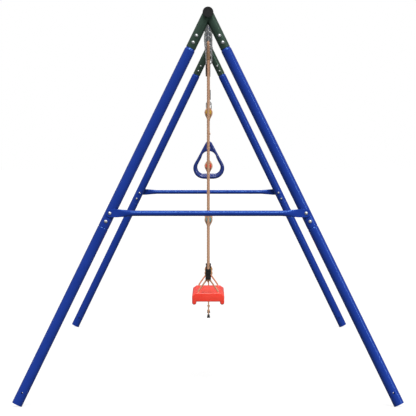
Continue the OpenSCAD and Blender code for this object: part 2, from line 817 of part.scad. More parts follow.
swing_rope(swing_ys[0]);  // swing_near_rope
swing_rope(swing_ys[1]);  // swing_far_rope
rope_adjusters();
seat_cords();
seat();
for (y = ladder_ys) translate([0, y, hook_z]) hook_body(hook_w, hook_h, hook_wire);  // ladder_hooks
translate([0, ladder_ys[0], hook_z]) hook_gate(hook_w, hook_h, hook_wire);  // ladder_near_hook_gate
translate([0, ladder_ys[1], hook_z]) hook_gate(hook_w, hook_h, hook_wire);  // ladder_far_hook_gate
ladder_rope(ladder_ys[0]);  // ladder_near_rope
ladder_rope(ladder_ys[1]);  // ladder_far_rope
ladder_rope_adjusters();
rung(0);  // rung_1
rung(1);  // rung_2
rung(2);  // rung_3
rung(3);  // rung_4
ladder_bell_caps();
translate([0, ring_ys[0], hook_z]) hook_body(hook_w, hook_h, hook_wire);  // near_ring_hook
translate([0, ring_ys[0], hook_z]) hook_gate(hook_w, hook_h, hook_wire);  // near_ring_hook_gate
ring_rope(ring_ys[0]);  // near_ring_rope
ring_sleeve(ring_ys[0]);  // near_ring_sleeve
translate([0, ring_ys[0], link_z]) hook_body(link_w, link_h, link_wire);  // near_ring_link
translate([0, ring_ys[0], link_z]) hook_gate(link_w, link_h, link_wire);  // near_ring_link_gate
ring_loop(ring_ys[0]);  // near_ring_loop
gym_ring(ring_ys[0]);  // near_ring
translate([0, ring_ys[1], hook_z]) hook_body(hook_w, hook_h, hook_wire);  // far_ring_hook
translate([0, ring_ys[1], hook_z]) hook_gate(hook_w, hook_h, hook_wire);  // far_ring_hook_gate
ring_rope(ring_ys[1]);  // far_ring_rope
ring_sleeve(ring_ys[1]);  // far_ring_sleeve
translate([0, ring_ys[1], link_z]) hook_body(link_w, link_h, link_wire);  // far_ring_link
translate([0, ring_ys[1], link_z]) hook_gate(link_w, link_h, link_wire);  // far_ring_link_gate
ring_loop(ring_ys[1]);  // far_ring_loop
gym_ring(ring_ys[1]);  // far_ring
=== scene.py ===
# A child's swing set for the garden. Two splayed A-frames of blue powder-coated tube carry
# a green beam. A moulded board swing, a rope ladder and a pair of gym rings hang from it,
# each on snap hooks and laid rope. +X runs across the A-frames, +Y along the beam, +Z up.
import math

import bmesh
import bpy
from mathutils import Matrix, Vector


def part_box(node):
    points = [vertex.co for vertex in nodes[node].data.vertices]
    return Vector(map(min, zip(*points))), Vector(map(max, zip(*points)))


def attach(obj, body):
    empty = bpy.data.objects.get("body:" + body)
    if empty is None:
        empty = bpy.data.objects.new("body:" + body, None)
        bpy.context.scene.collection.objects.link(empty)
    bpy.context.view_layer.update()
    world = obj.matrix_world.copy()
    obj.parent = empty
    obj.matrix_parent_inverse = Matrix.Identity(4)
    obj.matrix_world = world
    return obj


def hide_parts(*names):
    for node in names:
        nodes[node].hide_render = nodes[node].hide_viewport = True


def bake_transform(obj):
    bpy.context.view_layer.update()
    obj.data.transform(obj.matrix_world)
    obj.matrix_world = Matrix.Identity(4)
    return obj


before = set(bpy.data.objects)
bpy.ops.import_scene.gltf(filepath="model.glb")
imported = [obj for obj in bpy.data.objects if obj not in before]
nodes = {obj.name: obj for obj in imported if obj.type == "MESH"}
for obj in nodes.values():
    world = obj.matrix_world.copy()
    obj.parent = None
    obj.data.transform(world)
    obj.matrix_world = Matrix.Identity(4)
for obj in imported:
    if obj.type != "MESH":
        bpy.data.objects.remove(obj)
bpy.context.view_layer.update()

# ---- camera ----
# The set is seen along its beam from about two thirds of its height, through a long lens, so
# that the farther A-frame stands small inside the nearer one.
APEX_Y = 1.5
STAND_OFF = 7.64
LENS = 145.5
LOOK_DOWN = 2.28
LOOK_LEFT = 0.12

camera = bpy.data.objects.new("camera", bpy.data.cameras.new("camera"))
camera.data.lens = LENS
camera.data.clip_end = 200
camera.location = (0.016, -APEX_Y - STAND_OFF, 1.194)
camera.rotation_euler = (math.radians(90 - LOOK_DOWN), 0, math.radians(LOOK_LEFT))
bpy.context.collection.objects.link(camera)
bpy.context.scene.camera = camera
bpy.context.scene.view_settings.view_transform = "Standard"

# ---- laid rope ----
# Three-strand polypropylene rope in a hemp colour, 13 mm thick, with a twist that comes round
# about every 42 mm. Each length is one lobed ring drawn along its route and turned as it goes.


def linear(hex_colour):
    """The linear colour of an sRGB hex value."""
    parts = [int(hex_colour[i:i + 2], 16) / 255 for i in (1, 3, 5)]
    return [c / 12.92 if c <= 0.04045 else ((c + 0.055) / 1.055) ** 2.4 for c in parts] + [1]


def add(material, kind, inputs, **settings):
    """Adds a node: each input is a value, or another node's output socket to link from."""
    node = material.node_tree.nodes.new(kind)
    for name, value in settings.items():
        setattr(node, name, value)
    for name, value in inputs.items():
        if isinstance(value, bpy.types.NodeSocket):
            material.node_tree.links.new(value, node.inputs[name])
        else:
            node.inputs[name].default_value = value
    return node


def new_material(name, **constants):
    """An empty Principled material, with the values that are the same all over it."""
    material = bpy.data.materials.new(name)
    material.use_nodes = True
    shader = material.node_tree.nodes["Principled BSDF"]
    for socket, value in constants.items():
        shader.inputs[socket.replace("_", " ")].default_value = value
    return material, shader


def join_sockets(material, shader, **sockets):
    """Links each named input of the shader to another node's output."""
    for name, socket in sockets.items():
        material.node_tree.links.new(socket, shader.inputs[name.replace("_", " ")])


# Polypropylene staple: dull, slightly hairy strands whose fibres run aslant round each strand,
# paler where the light catches them and browner where they are soiled. Fibres are drawn about
# 1 mm wide, coarser than they are, so that they show.
rope_fibre, shader = new_material("laid_polypropylene_rope", Sheen_Weight=0.25, Sheen_Roughness=0.5)
strand_uv = add(rope_fibre, "ShaderNodeUVMap", {}, uv_map="strand")
slant = add(rope_fibre, "ShaderNodeMapping", {"Vector": strand_uv.outputs["UV"],
            "Scale": (55, 34, 1), "Rotation": (0, 0, math.radians(24))})
fibres = add(rope_fibre, "ShaderNodeTexNoise", {"Vector": slant.outputs[0], "Scale": 1.0,
             "Detail": 3.0, "Roughness": 0.6})
place = add(rope_fibre, "ShaderNodeTexCoord", {})
soil = add(rope_fibre, "ShaderNodeTexNoise", {"Vector": place.outputs["Object"], "Scale": 22.0,
           "Detail": 2.0})
tan = add(rope_fibre, "ShaderNodeMix", {"Factor": fibres.outputs["Fac"], 6: linear("#94684C"),
          7: linear("#E6BC9A")}, data_type="RGBA")
soiled = add(rope_fibre, "ShaderNodeMix", {"Factor": soil.outputs["Fac"], 6: tan.outputs[2],
             7: linear("#C8946F")}, data_type="RGBA")
dull = add(rope_fibre, "ShaderNodeMapRange", {"Value": fibres.outputs["Fac"], "To Min": 0.62,
           "To Max": 0.85})
fibre_bump = add(rope_fibre, "ShaderNodeBump", {"Height": fibres.outputs["Fac"],
                 "Strength": 0.6, "Distance": 0.0006})
join_sockets(rope_fibre, shader, Base_Color=soiled.outputs[2], Roughness=dull.outputs[0],
             Normal=fibre_bump.outputs[0])

ROPE_D = 0.013
CORD_D = 0.008
LOOP_D = 0.009
STRANDS = 3
STRAND_SIDES = 6
# Radius over the strands' crowns and length of one full twist, in rope diameters
CROWN = 0.53
LAY = 3.2
# Depth of the grooves between strands, as a share of the crowns' radius
GROOVE = 0.17
ARC_STEPS = 24
KNOT_STEPS = 72
# Depth of a knot from front to back, against a plain trefoil's
KNOT_DEPTH = 1.3


def length_of(path):
    """The length of a path of points."""
    return sum((b - a).length for a, b in zip(path, path[1:]))


def evenly(path, spacing):
    """The path again as points an equal distance apart."""
    steps = max(3, round(length_of(path) / spacing))
    step = length_of(path) / steps
    line, left = [path[0].copy()], step
    for a, b in zip(path, path[1:]):
        span = (b - a).length
        at = left
        while at <= span and len(line) < steps:
            line.append(a.lerp(b, at / span))
            at += step
        left = at - span
    return line + [path[-1].copy()]


def eased(path, spacing, rounds):
    """The path as even points with its corners rounded off."""
    line = evenly(path, spacing)
    for _ in range(rounds):
        middle = [(a + 2 * b + c) / 4 for a, b, c in zip(line, line[1:], line[2:])]
        line = [line[0]] + middle + [line[-1]]
    return line


def laid_rope(name, line, diameter, scale_at=None):
    """A rope mesh along even points. scale_at(point) makes it thinner in places."""
    bm = bmesh.new()
    turn = bm.verts.layers.float.new("turn")
    run = bm.verts.layers.float.new("run")
    uv = bm.loops.layers.uv.new("strand")
    ring = bmesh.ops.create_circle(bm, segments=STRANDS * STRAND_SIDES, radius=CROWN * diameter)
    ring = ring["verts"]
    for v in ring:
        v[turn] = math.atan2(v.co.y, v.co.x) % (2 * math.pi)
        v.co *= 1 - GROOVE * (1 - abs(math.cos(STRANDS / 2 * v[turn])))
    aim = [(b - a).normalized() for a, b in zip(line, line[1:])]
    aim = [aim[0]] + [(a + b).normalized() for a, b in zip(aim, aim[1:])] + [aim[-1]]
    start = Vector((0, 0, 1)).rotation_difference(aim[0]).to_matrix().to_4x4()
    size = scale_at(line[0]) if scale_at else 1
    start = Matrix.Translation(line[0]) @ start @ Matrix.Scale(size, 4)
    bmesh.ops.transform(bm, matrix=start, verts=ring)
    edges = bm.edges[:]
    bmesh.ops.contextual_create(bm, geom=edges)
    twist = LAY * diameter
    done = 0.0
    for i in range(1, len(line)):
        step = (line[i] - line[i - 1]).length
        done += step
        geom = bmesh.ops.extrude_edge_only(bm, edges=edges)["geom"]
        ring = [g for g in geom if isinstance(g, bmesh.types.BMVert)]
        fresh = set(ring)
        edges = [g for g in geom if isinstance(g, bmesh.types.BMEdge)
                 and g.verts[0] in fresh and g.verts[1] in fresh]
        grown = scale_at(line[i]) if scale_at else 1
        move = Matrix.Translation(line[i])
        move = move @ Matrix.Rotation(2 * math.pi * step / twist, 4, aim[i])
        move = move @ aim[i - 1].rotation_difference(aim[i]).to_matrix().to_4x4()
        move = move @ Matrix.Scale(grown / size, 4) @ Matrix.Translation(-line[i - 1])
        size = grown
        bmesh.ops.transform(bm, matrix=move, verts=ring)
        for v in ring:
            v[run] = done
    bmesh.ops.contextual_create(bm, geom=edges)
    bmesh.ops.recalc_face_normals(bm, faces=bm.faces)
    for face in bm.faces:
        turns = [v[turn] for v in face.verts]
        wraps = max(turns) - min(turns) > math.pi
        for loop in face.loops:
            angle = loop.vert[turn]
            if wraps and angle < math.pi:
                angle += 2 * math.pi
            loop[uv].uv = (loop.vert[run], angle / (2 * math.pi))
    return as_piece(bm, name, rope_fibre)


def as_piece(bm, name, material):
    """Turns a finished bmesh into a smooth-shaded object of one material."""
    mesh = bpy.data.meshes.new(name)
    bm.to_mesh(mesh)
    bm.free()
    mesh.shade_smooth()
    mesh.materials.append(material)
    piece = bpy.data.objects.new(name, mesh)
    bpy.context.collection.objects.link(piece)
    return piece


def drop_arc(y, centre, radius, reach, up):
    """The round part of a drop shape in the YZ plane, whose point lies at reach from its centre:
    below it where up is 1, above it where up is -1."""
    side = math.acos(radius / reach)
    turns = [side + (2 * math.pi - 2 * side) * i / ARC_STEPS for i in range(ARC_STEPS + 1)]
    return [Vector((0, y + radius * math.sin(a), centre - up * radius * math.cos(a)))
            for a in turns]


def eye_path(y, top, neck, radius, tail):
    """A drop-shaped rope eye: its round end reaches to top and its point is at neck. The tail
    starts part of the way up one side. A neck above the top turns the eye over."""
    up = 1 if top > neck else -1
    centre = top - up * radius
    loop = drop_arc(y, centre, radius, abs(centre - neck), up)
    point = Vector((0, y, neck))
    return [point.lerp(loop[0], tail)] + loop + [point]


def knot(name, centre, diameter, width):
    """A tight overhand knot, drawn as a trefoil of rope whose line is six reaches across."""
    reach = (width - diameter) / 6
    line = []
    for i in range(KNOT_STEPS + 1):
        t = 2 * math.pi * i / KNOT_STEPS
        line.append(Vector(centre) + reach * Vector((
            math.sin(t) + 2 * math.sin(2 * t), -math.sin(3 * t) * KNOT_DEPTH,
            math.cos(t) - 2 * math.cos(2 * t))))
    return laid_rope(name, line, diameter)


# Width of one turn of twine, depth between turns, and the step down to the rope at the ends
TWINE_D = 0.0022
TWINE_DIP = 0.0006
WHIP_STEP = 0.003


def whipping(name, y, low, high, radius):
    """A tight winding of twine over a splice: a tube with one rib for each turn."""
    bm = bmesh.new()
    turns = round((high - low) / TWINE_D)
    pitch = (high - low) / turns
    profile = [(radius - WHIP_STEP, low)]
    for i in range(turns):
        profile.append((radius - TWINE_DIP, low + (i + 0.1) * pitch))
        profile.append((radius, low + (i + 0.5) * pitch))
        profile.append((radius - TWINE_DIP, low + (i + 0.9) * pitch))
    profile.append((radius - WHIP_STEP, high))
    verts = [bm.verts.new((r, y, z)) for r, z in profile]
    edges = [bm.edges.new(pair) for pair in zip(verts, verts[1:])]
    bmesh.ops.spin(bm, geom=verts + edges, cent=(0, y, 0), axis=(0, 0, 1),
                   angle=2 * math.pi, steps=24, use_merge=True)
    bmesh.ops.holes_fill(bm, edges=bm.edges)
    bmesh.ops.recalc_face_normals(bm, faces=bm.faces)
    return as_piece(bm, name, twine)


# Waxed polyester twine: darker than the rope, each turn catching its own line of light.
twine, shader = new_material("waxed_twine", Roughness=0.55)
place = add(twine, "ShaderNodeTexCoord", {})
wax = add(twine, "ShaderNodeTexNoise", {"Vector": place.outputs["Object"], "Scale": 180.0})
wound = add(twine, "ShaderNodeMix", {"Factor": wax.outputs["Fac"], 6: linear("#7D5C40"),
            7: linear("#B08A66")}, data_type="RGBA")
join_sockets(twine, shader, Base_Color=wound.outputs[2])

# The snap hooks' lower bows carry the ropes' eyes, and the whipping covers the splice below
hook_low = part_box("swing_hooks")[0]
HOOK_WIRE = 0.007
HANG_GAP = 0.0003
EYE_R = 0.016
EYE_LEN = 0.058
EYE_TOP = hook_low.z + HOOK_WIRE + HANG_GAP + ROPE_D / 2
EYE_NECK = EYE_TOP - EYE_LEN
WHIP_R = 0.0092
WHIP_TOP = EYE_NECK + 0.012
WHIP_LOW = EYE_NECK - 0.026
# How far up one side of an eye its tail starts, as a share of that side
TAIL_SHOW = 0.32
# Distance between the points of a 13 mm rope's line
ROPE_STEP = 0.003


def middle_y(node):
    """A CAD node's middle along the beam."""
    low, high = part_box(node)
    return (low.y + high.y) / 2


def upper_eye(y):
    """The route of a rope's eye on its snap hook."""
    return eye_path(y, EYE_TOP, EYE_NECK, EYE_R, TAIL_SHOW)


def upper_whipping(name, y, body):
    """The whipping under a rope's eye on its snap hook."""
    splice = whipping(name, y, WHIP_LOW, WHIP_TOP, WHIP_R)
    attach(splice, body)
    return splice


def hang(name, path, diameter, body, stands_for, scale_at=None):
    line = eased(path, ROPE_STEP * diameter / ROPE_D, 4)
    rope = laid_rope(name, line, diameter, scale_at)
    if isinstance(body, str):
        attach(rope, body)
    else:
        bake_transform(rope)
    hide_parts(*stands_for)
    return rope


# ---- the board swing's ropes ----
# Each 13 mm rope hangs on its snap hook by a spliced eye, whipped with twine, and runs down
# through the adjuster block to a knot.
adjuster_low, adjuster_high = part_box("rope_adjusters")
seat_low, seat_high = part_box("seat")
SWING_YS = [middle_y("swing_near_rope"), middle_y("swing_far_rope")]
TILT_Z = adjuster_high.z + 0.007
BEND_TOP = TILT_Z + 0.02
BEND_LOW = TILT_Z - 0.007
END_KNOT_Z = adjuster_low.z - 0.007
END_KNOT_D = 0.007
END_KNOT_W = 0.018

for end, y in zip(("near", "far"), SWING_YS):
    splice = upper_whipping(f"swing_{end}_whipping", y, "swing")
    end_knot = knot(f"swing_{end}_rope_knot", (0, y, END_KNOT_Z), END_KNOT_D, END_KNOT_W)
    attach(end_knot, "swing_seat")
    path = upper_eye(y) + [Vector((0, y, END_KNOT_Z + 0.002))]
    bend = ("swing", "swing_seat", (0, y, BEND_TOP), (0, y, BEND_LOW))
    stands_for = [f"swing_{end}_rope"]
    hang(f"swing_{end}_laid_rope", path, ROPE_D, bend, stands_for)

# ---- seat cords ----
# From each adjuster two 8 mm cords spread to the front and the back of the seat, go down
# through its bosses and end in knots underneath.
CORD_X = 0.048
START_X = 0.008
STOP_DROP = 0.018
STOP_KNOT_D = 0.006
STOP_KNOT_W = 0.017

for end, y in zip(("near", "far"), SWING_YS):
    for side, way in (("left", -1), ("right", 1)):
        under = (way * CORD_X, y, seat_high.z - STOP_DROP)
        stop = knot(f"seat_{end}_{side}_knot", under, STOP_KNOT_D, STOP_KNOT_W)
        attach(stop, "swing_seat")
        # Out of the block, aslant to the boss, and straight down through it into the knot
        path = [Vector((way * START_X, y, adjuster_low.z + 0.004)),
                Vector((way * (START_X + 0.002), y, adjuster_low.z - 0.006)),
                Vector((way * (CORD_X - 0.003), y, seat_high.z + 0.010)),
                Vector((way * CORD_X, y, seat_high.z + 0.002)),
                Vector((way * CORD_X, y, seat_high.z - 0.016))]
        hang(f"seat_{end}_{side}_cord", path, CORD_D, "swing_seat", ["seat_cords"])

# ---- the ladder's side ropes ----
# At each rung the rope opens into two 8 mm strands that pass round the rung and close to a
# point below it. Below the last rung it thins to a tail with a knot and a plastic bell.
LADDER_YS = [middle_y("ladder_near_rope"), middle_y("ladder_far_rope")]
bell_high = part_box("ladder_bell_caps")[1]
rungs = [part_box(f"rung_{i}") for i in (1, 2, 3, 4)]
RUNG_ZS = [(low.z + high.z) / 2 for low, high in rungs]
RUNG_R = (rungs[0][1].z - rungs[0][0].z) / 2
STRAND_D = 0.008
PART_R = RUNG_R + HANG_GAP + STRAND_D / 2
PART_ABOVE = 0.030
PART_BELOW = 0.040
PART_STEPS = 12
# The tail's diameter, as a share of the rope's
TAIL_SIZE = 0.53
TAIL_KNOT_Z = bell_high.z + 0.019
TAIL_END_Z = bell_high.z - 0.006


def round_rung(y, z, way):
    """The strand's route past one rung, from where the rope opens to where it closes."""
    top = math.acos(PART_R / PART_ABOVE)
    low = math.pi - math.acos(PART_R / PART_BELOW)
    points = [Vector((0, y, z + PART_ABOVE))]
    for i in range(PART_STEPS + 1):
        a = top + (low - top) * i / PART_STEPS
        points.append(Vector((way * PART_R * math.sin(a), y, z + PART_R * math.cos(a))))
    return points + [Vector((0, y, z - PART_BELOW))]


def ladder_size(point):
    """How thick the rope is at a point, as a share: full, a strand at a rung, or the tail."""
    open_share = STRAND_D / ROPE_D
    apart = min(1, abs(point.x) / (0.5 * PART_R))
    size = 1 - (1 - open_share) * apart
    if point.z < RUNG_ZS[-1] - PART_BELOW / 2:
        size = min(size, TAIL_SIZE)
    return size


for end, y in zip(("near", "far"), LADDER_YS):
    splice = upper_whipping(f"ladder_{end}_whipping", y, "ladder")
    under = (0, y, TAIL_KNOT_Z)
    others = [knot(f"ladder_{end}_tail_knot", under, STOP_KNOT_D, STOP_KNOT_W)]
    for i, z in enumerate(RUNG_ZS):
        route = eased(round_rung(y, z, 1), ROPE_STEP, 3)
        others.append(laid_rope(f"ladder_{end}_strand_{i + 1}", route, STRAND_D))
    for piece in others:
        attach(piece, "ladder")
    path = upper_eye(y)
    for z in RUNG_ZS:
        path += round_rung(y, z, -1)
    path.append(Vector((0, y, TAIL_END_Z)))
    hang(f"ladder_{end}_laid_rope", path, ROPE_D, "ladder", [f"ladder_{end}_rope"],
         scale_at=ladder_size)

# ---- the rings' ropes ----
# A short rope with an eye at each end joins the beam's snap hook to the small snap link. A
# plastic sleeve covers its lower splice.
RING_YS = [middle_y("near_ring"), middle_y("far_ring")]
link_low, link_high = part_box("near_ring_link")
sleeve_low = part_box("near_ring_sleeve")[0]
LINK_WIRE = 0.006
LOWER_EYE = link_high.z - LINK_WIRE - HANG_GAP - ROPE_D / 2
LOWER_EYE_R = 0.0135
LOWER_NECK = sleeve_low.z + 0.012

for end, y in zip(("near", "far"), RING_YS):
    splice = upper_whipping(f"{end}_ring_whipping", y, f"{end}_ring_line")
    below = eye_path(y, LOWER_EYE, LOWER_NECK, LOWER_EYE_R, TAIL_SHOW)
    path = upper_eye(y) + below[::-1]
    hang(f"{end}_ring_laid_rope", path, ROPE_D, f"{end}_ring_line", [f"{end}_ring_rope"])

# ---- the rings' loops ----
# A 9 mm rope hangs on the small link by an eye, runs down to a knot, and opens into a long
# drop-shaped loop that passes through the hole in the ring's web.
ring_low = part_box("near_ring")[0]
HOLE_UP = 0.180
HOLE_Z = ring_low.z + HOLE_UP
LOOP_BEND_R = 0.018
LOOP_SAG = 0.002
BEND_Z = HOLE_Z - LOOP_SAG + LOOP_BEND_R
FORK_UP = 0.064
FORK_Z = BEND_Z + FORK_UP
FORK_KNOT_D = 0.007
FORK_KNOT_W = 0.021
# Where the loop's second side ends inside the knot, as a share of that side
CLOSE_SHARE = 0.86
LOOP_EYE_TOP = link_low.z + LINK_WIRE + HANG_GAP + LOOP_D / 2
LOOP_EYE_R = 0.012
LOOP_NECK = LOOP_EYE_TOP - 0.046
LOOP_WHIP_LOW = LOOP_NECK - 0.022
LOOP_WHIP_TOP = LOOP_NECK + 0.010
LOOP_WHIP_R = 0.007

for end, y in zip(("near", "far"), RING_YS):
    body = f"{end}_ring_handle"
    splice = whipping(f"{end}_loop_whipping", y, LOOP_WHIP_LOW, LOOP_WHIP_TOP, LOOP_WHIP_R)
    fork = knot(f"{end}_loop_knot", (0, y, FORK_Z), FORK_KNOT_D, FORK_KNOT_W)
    for piece in (splice, fork):
        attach(piece, body)
    loop = drop_arc(y, BEND_Z, LOOP_BEND_R, FORK_Z - BEND_Z, -1)
    path = eye_path(y, LOOP_EYE_TOP, LOOP_NECK, LOOP_EYE_R, TAIL_SHOW)
    path += [Vector((0, y, FORK_Z))] + loop
    path.append(loop[-1].lerp(Vector((0, y, FORK_Z)), CLOSE_SHARE))
    hang(f"{end}_loop_laid_rope", path, LOOP_D, body, [f"{end}_ring_loop"])

# ---- brackets and beam ----
# Welded apex brackets and a two-part beam of round steel tube, powder-coated dark green. The
# coat shows a little orange peel and a soft, even gloss.


def powder_coat(name, dark, pale, sheen):
    """Baked polyester powder on steel: orange peel drawn 5 mm wide, a faint mottle and a hazy
    gloss that takes on the colour of the pigment."""
    material, shader = new_material(name, Specular_Tint=sheen, IOR=1.5)
    place = add(material, "ShaderNodeTexCoord", {})
    mottle = add(material, "ShaderNodeTexNoise", {"Vector": place.outputs["Object"],
                 "Scale": 9.0, "Detail": 3.0})
    peel = add(material, "ShaderNodeTexNoise", {"Vector": place.outputs["Object"],
               "Scale": 200.0, "Detail": 1.0})
    colour = add(material, "ShaderNodeMix", {"Factor": mottle.outputs["Fac"], 6: linear(dark),
                 7: linear(pale)}, data_type="RGBA")
    haze = add(material, "ShaderNodeMapRange", {"Value": mottle.outputs["Fac"],
               "To Min": 0.17, "To Max": 0.24})
    bump = add(material, "ShaderNodeBump", {"Height": peel.outputs["Fac"], "Strength": 0.04,
               "Distance": 0.0004})
    join_sockets(material, shader, Base_Color=colour.outputs[2], Roughness=haze.outputs[0],
                 Normal=bump.outputs[0])
    return material


def wear(names, material):
    """Gives CAD nodes their finish."""
    for name in names:
        mesh = nodes[name].data
        mesh.materials.clear()
        mesh.materials.append(material)


green_coat = powder_coat("green_powder_coat", "#293831", "#36453C", (0.6, 1.0, 0.75, 1))
wear(["near_bracket", "far_bracket", "beam_near_half", "beam_far_half"], green_coat)

# ---- legs ----
# Eight lengths of 48 mm steel tube, each with one end drawn down to slide inside its
# neighbour, powder-coated blue.
blue_coat = powder_coat("blue_powder_coat", "#193286", "#223D9A", (0.22, 0.5, 1.0, 1))
LEGS = [f"{end}_{side}_leg_{part}" for end in ("near", "far") for side in ("left", "right")
        for part in ("upper", "lower")]
wear(LEGS, blue_coat)

# ---- braces ----
# A 25 mm cross tube on each A-frame, its ends pressed flat in a fishtail and rounded, bolted
# to the outer faces of the legs.
SPLAY = math.radians(4)
BRACE_OD = 0.025
BRACE_T = 0.003
STRAP_H = 0.037
STRAP_LEN = 0.034
PRESS_LEN = 0.074
PLAIN_STEPS = 8
PRESS_STEPS = 12
# The strap's round tip is drawn in ten turns of this many degrees, just short of its edge
TIP_STEPS = 10
TIP_TURN = 8.6
# The straps' sides turn square over this length
SQUARE_LEN = 0.02


def brace_sections(half):
    """(place along the tube, thickness, height) from the middle out to the tip of the strap."""
    bolt = half - STRAP_H / 2
    press_end = bolt - STRAP_LEN
    press_start = press_end - PRESS_LEN
    sections = [(press_start * i / PLAIN_STEPS, BRACE_OD, BRACE_OD)
                for i in range(PLAIN_STEPS + 1)]
    for i in range(1, PRESS_STEPS + 1):
        t = i / PRESS_STEPS
        ease = t * t * (3 - 2 * t)
        thick = BRACE_OD + (BRACE_T - BRACE_OD) * ease
        high = BRACE_OD + (STRAP_H - BRACE_OD) * t
        sections.append((press_start + PRESS_LEN * t, thick, high))
    sections.append((bolt, BRACE_T, STRAP_H))
    for i in range(1, TIP_STEPS + 1):
        a = math.radians(TIP_TURN * i)
        sections.append((bolt + STRAP_H / 2 * math.sin(a), BRACE_T, STRAP_H * math.cos(a)))
    return sections


def pressed_tube(name, half, place):
    """A round tube along X with both ends pressed into flat straps."""
    out = brace_sections(half)
    run = [(-x, t, h) for x, t, h in out[:0:-1]] + out
    bm = bmesh.new()
    ring = bmesh.ops.create_circle(bm, segments=40, radius=0.5)["verts"]
    bmesh.ops.rotate(bm, verts=ring, matrix=Matrix.Rotation(math.pi / 2, 3, "Y"))
    x, thick, high = run[0]
    bmesh.ops.scale(bm, verts=ring, vec=(1, thick, high))
    bmesh.ops.translate(bm, verts=ring, vec=(x, 0, 0))
    edges = bm.edges[:]
    bmesh.ops.contextual_create(bm, geom=edges)
    for (x0, t0, h0), (x1, t1, h1) in zip(run, run[1:]):
        geom = bmesh.ops.extrude_edge_only(bm, edges=edges)["geom"]
        ring = [g for g in geom if isinstance(g, bmesh.types.BMVert)]
        edges = [g for g in geom if isinstance(g, bmesh.types.BMEdge)
                 and g.verts[0] in ring and g.verts[1] in ring]
        bmesh.ops.scale(bm, verts=ring, vec=(1, t1 / t0, h1 / h0))
        bmesh.ops.translate(bm, verts=ring, vec=(x1 - x0, 0, 0))
    bmesh.ops.contextual_create(bm, geom=edges)
    # The flat straps have square sides: their rims are pushed out to the full thickness, all
    # but the line of points along each edge's middle
    for v in bm.verts:
        past = abs(v.co.x) - half + STRAP_LEN + STRAP_H / 2 + SQUARE_LEN
        flat = max(0, min(1, past / SQUARE_LEN))
        if flat > 0 and 0.0002 < abs(v.co.y) < BRACE_T / 2:
            v.co.y += flat * (math.copysign(BRACE_T / 2, v.co.y) - v.co.y)
    bmesh.ops.recalc_face_normals(bm, faces=bm.faces)
    bmesh.ops.transform(bm, matrix=place, verts=bm.verts)
    return as_piece(bm, name, blue_coat)


for end, way in (("near", 1), ("far", -1)):
    low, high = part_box(f"{end}_brace")
    lean = Matrix.Translation((low + high) / 2) @ Matrix.Rotation(-way * SPLAY, 4, "X")
    piece = pressed_tube(f"{end}_cross_brace", (high.x - low.x) / 2, lean)
    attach(piece, "root")
    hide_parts(f"{end}_brace")

# ---- fasteners and hangers ----
# Zinc-plated steel: domed bolts with cap nuts, eye bolts with washers, the inner sleeve of the
# beam, and the snap hooks and links with their gates.


def zinc_plate(name, dark, pale):
    """Bright zinc on steel: cool grey with a cloudy bloom that scatters part of the light."""
    material, shader = new_material(name, Metallic=0.75)
    place = add(material, "ShaderNodeTexCoord", {})
    bloom = add(material, "ShaderNodeTexNoise", {"Vector": place.outputs["Object"],
                "Scale": 120.0, "Detail": 4.0})
    colour = add(material, "ShaderNodeMix", {"Factor": bloom.outputs["Fac"], 6: linear(dark),
                 7: linear(pale)}, data_type="RGBA")
    haze = add(material, "ShaderNodeMapRange", {"Value": bloom.outputs["Fac"],
               "To Min": 0.28, "To Max": 0.46})
    bump = add(material, "ShaderNodeBump", {"Height": bloom.outputs["Fac"], "Strength": 0.12,
               "Distance": 0.0003})
    join_sockets(material, shader, Base_Color=colour.outputs[2], Roughness=haze.outputs[0],
                 Normal=bump.outputs[0])
    return material


zinc = zinc_plate("bright_zinc_plate", "#A2A6A9", "#DADCDC")
wear([n for n in nodes if "bolts" in n or "hook" in n or "link" in n or n == "beam_sleeve"], zinc)

# ---- black plastic pieces ----
# Injection-moulded nylon with a spark-eroded grain, drawn coarser than it is so that it shows:
# the beam's end caps, the rope adjusters, the ladder's bell caps and the rings' sleeves.
black_nylon, shader = new_material("moulded_black_nylon", IOR=1.53)
place = add(black_nylon, "ShaderNodeTexCoord", {})
grain = add(black_nylon, "ShaderNodeTexNoise", {"Vector": place.outputs["Object"],
            "Scale": 400.0, "Detail": 2.0})
tone = add(black_nylon, "ShaderNodeMix", {"Factor": grain.outputs["Fac"], 6: linear("#070708"),
           7: linear("#151617")}, data_type="RGBA")
scuff = add(black_nylon, "ShaderNodeMapRange", {"Value": grain.outputs["Fac"], "To Min": 0.38,
            "To Max": 0.55})
bump = add(black_nylon, "ShaderNodeBump", {"Height": grain.outputs["Fac"], "Strength": 0.2,
           "Distance": 0.0003})
join_sockets(black_nylon, shader, Base_Color=tone.outputs[2], Roughness=scuff.outputs[0],
             Normal=bump.outputs[0])
wear(["beam_end_caps", "near_ring_sleeve", "far_ring_sleeve", "rope_adjusters",
      "ladder_rope_adjusters", "ladder_bell_caps"], black_nylon)

# ---- the board seat ----
# A moulded red polyethylene seat: a shell with a gently dished top, rounded long edges and
# rolled front and back rims. Four raised bosses take the cords, and ribs stiffen it below.


